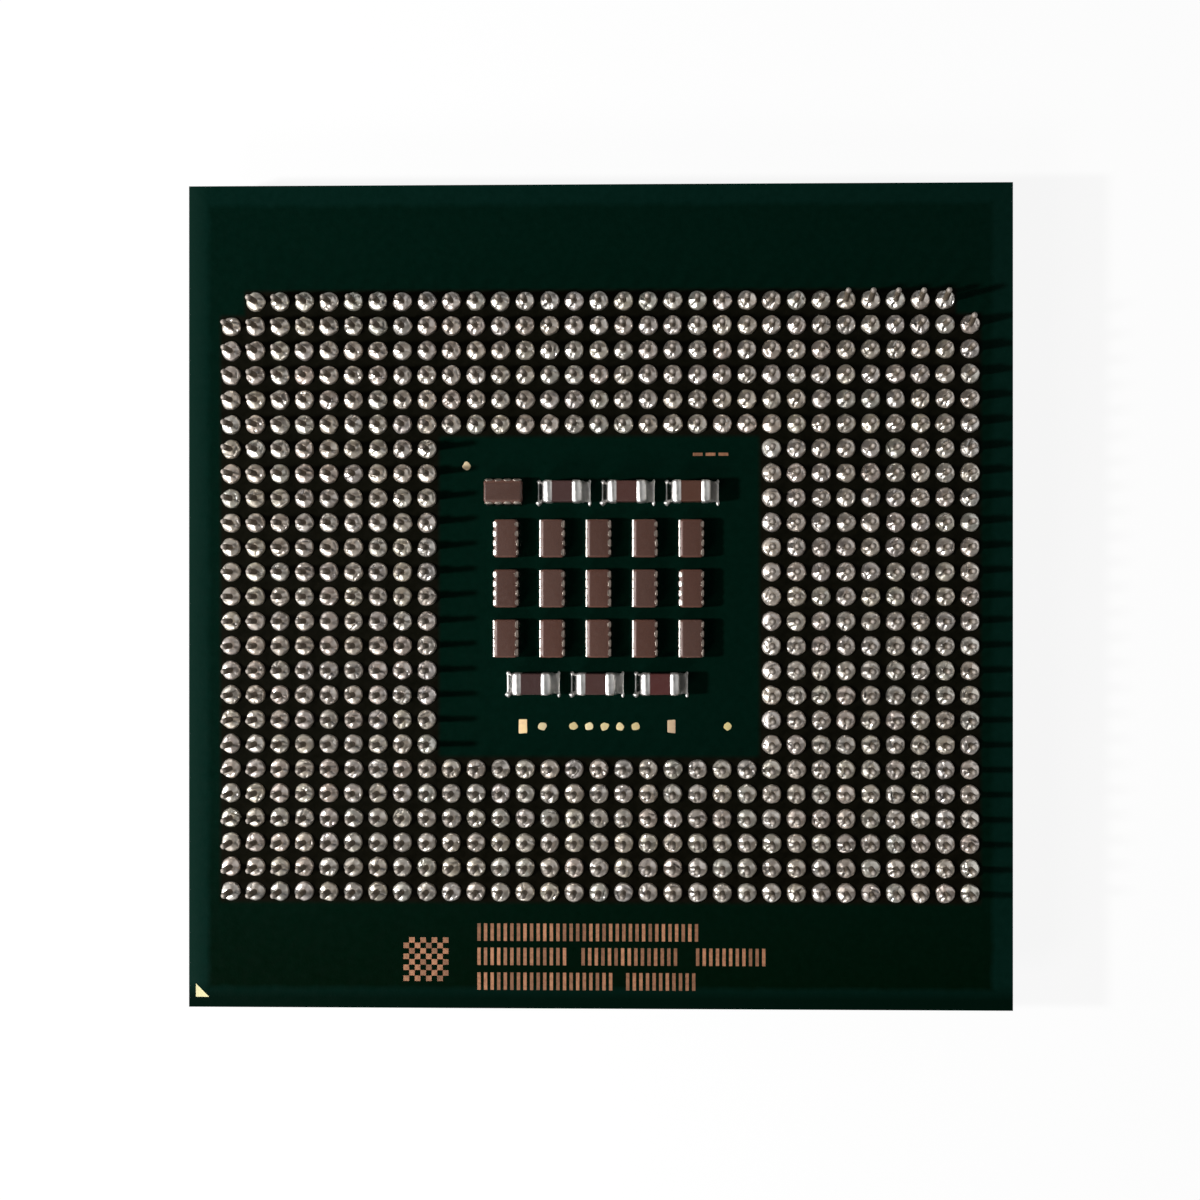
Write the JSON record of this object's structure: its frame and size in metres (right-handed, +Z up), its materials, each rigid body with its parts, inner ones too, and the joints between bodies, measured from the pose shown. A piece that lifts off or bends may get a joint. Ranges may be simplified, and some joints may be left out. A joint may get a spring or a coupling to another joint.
{
  "type": "cpu chip",
  "caption": "Square processor package with a grid of soldered pins round a window of ceramic capacitors, lying on its metal lid with the pins up.",
  "frame": {"origin": "middle of the lid's outer face, which the part lies on", "axes": "+Z up through the pins, +X along the pin rows, +Y towards the edge whose row lacks its end pins"},
  "size_m": [0.0426, 0.0426, 0.0056],
  "materials": {
    "solder_mask": "satin dark green mask over laminate",
    "nickel_plate": "satin nickel plating on copper",
    "sealant": "matt cured silicone",
    "thermal_compound": "matt grey compound",
    "silicon": "polished silicon",
    "underfill_resin": "cured resin",
    "pin_plating": "thin warm plating on drawn wire",
    "solder": "crinkled reflowed solder",
    "brown_ceramic": "satin fired ceramic",
    "tin_plate": "bright tin plating",
    "gold_plate": "gold flash on copper",
    "copper_print": "copper bared by a laser in the mask"
  },
  "bodies": {
    "root": {"substrate": "solder_mask", "heat_spreader_lid": "nickel_plate", "lid_sealant": "sealant", "thermal_layer": "thermal_compound", "silicon_die": "silicon", "die_underfill": "underfill_resin", "pin_row_a": "pin_plating", "pin_row_b": "pin_plating", "pin_row_c": "pin_plating", "pin_row_d": "pin_plating", "pin_row_e": "pin_plating", "pin_row_f": "pin_plating", "pin_row_g": "pin_plating", "pin_row_h": "pin_plating", "pin_row_j": "pin_plating", "pin_row_k": "pin_plating", "pin_row_l": "pin_plating", "pin_row_m": "pin_plating", "pin_row_n": "pin_plating", "pin_row_p": "pin_plating", "pin_row_r": "pin_plating", "pin_row_t": "pin_plating", "pin_row_u": "pin_plating", "pin_row_v": "pin_plating", "pin_row_w": "pin_plating", "pin_row_y": "pin_plating", "pin_row_aa": "pin_plating", "pin_row_ab": "pin_plating", "pin_row_ac": "pin_plating", "pin_row_ad": "pin_plating", "pin_row_ae": "pin_plating", "pin_solder_joints": "solder", "array_capacitor_1_1": "brown_ceramic", "array_capacitor_1_2": "brown_ceramic", "array_capacitor_1_3": "brown_ceramic", "array_capacitor_1_4": "brown_ceramic", "array_capacitor_1_5": "brown_ceramic", "array_capacitor_2_1": "brown_ceramic", "array_capacitor_2_2": "brown_ceramic", "array_capacitor_2_3": "brown_ceramic", "array_capacitor_2_4": "brown_ceramic", "array_capacitor_2_5": "brown_ceramic", "array_capacitor_3_1": "brown_ceramic", "array_capacitor_3_2": "brown_ceramic", "array_capacitor_3_3": "brown_ceramic", "array_capacitor_3_4": "brown_ceramic", "array_capacitor_3_5": "brown_ceramic", "lone_array_capacitor": "brown_ceramic", "upper_chip_capacitor_1": "brown_ceramic", "upper_chip_capacitor_2": "brown_ceramic", "upper_chip_capacitor_3": "brown_ceramic", "lower_chip_capacitor_1": "brown_ceramic", "lower_chip_capacitor_2": "brown_ceramic", "lower_chip_capacitor_3": "brown_ceramic", "array_terminals": "tin_plate", "chip_terminals": "tin_plate", "capacitor_solder": "solder", "test_pads": "gold_plate", "corner_mark": "gold_plate"}
  },
  "joints": []
}
